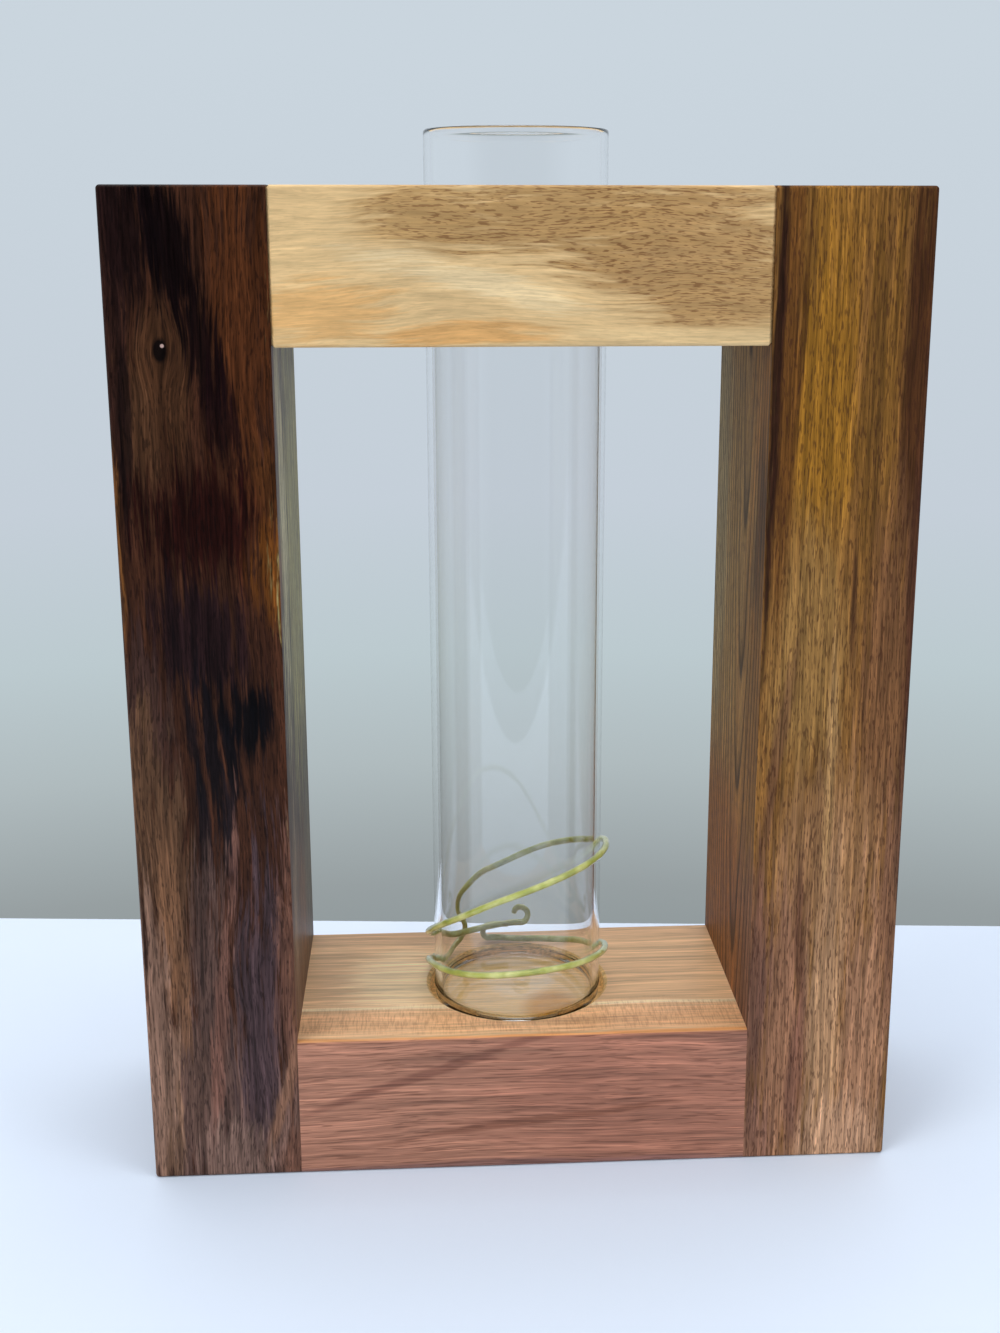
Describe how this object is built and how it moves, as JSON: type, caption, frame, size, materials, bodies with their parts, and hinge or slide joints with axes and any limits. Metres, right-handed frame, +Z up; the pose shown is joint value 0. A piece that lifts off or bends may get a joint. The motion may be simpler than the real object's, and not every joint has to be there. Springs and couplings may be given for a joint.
{
  "type": "test tube vase",
  "caption": "Bud vase: a flat-bottomed glass test tube stands in a jointed frame of mixed hardwoods, with a green wire looped round its foot.",
  "frame": {"origin": "centre of the frame's underside, on the surface that it stands on", "axes": "+Z up along the tube, +X along the rails to the right seen from the front, +Y to the back; the front shown in the picture faces -Y"},
  "size_m": [0.127, 0.044, 0.174],
  "materials": {
    "dark_walnut": "oiled, satin",
    "golden_wood": "oiled, satin",
    "pale_sapwood": "oiled, satin",
    "red_brown_wood": "oiled, satin",
    "dowel_wood": "bare beech, hidden",
    "clear_glass": "clear, fire-polished rim",
    "green_enamel": "gloss enamel"
  },
  "bodies": {
    "frame": {"left_post": "dark_walnut", "right_post": "golden_wood", "top_rail": "pale_sapwood", "base_rail": "red_brown_wood", "base_left_front_dowel": "dowel_wood", "base_left_back_dowel": "dowel_wood", "base_right_front_dowel": "dowel_wood", "base_right_back_dowel": "dowel_wood", "top_left_front_dowel": "dowel_wood", "top_left_back_dowel": "dowel_wood", "top_right_front_dowel": "dowel_wood", "top_right_back_dowel": "dowel_wood"},
    "tube": {"glass_tube": "clear_glass"},
    "wire": {"florist_wire": "green_enamel"}
  },
  "joints": [
    {"name": "tube_lift", "type": "slide", "parent": "frame", "child": "tube", "axis": [0, 0, 1], "range_m": [0, 0.15]},
    {"name": "wire_lift", "type": "slide", "parent": "frame", "child": "wire", "axis": [0, 0, 1], "range_m": [0, 0.088]}
  ]
}
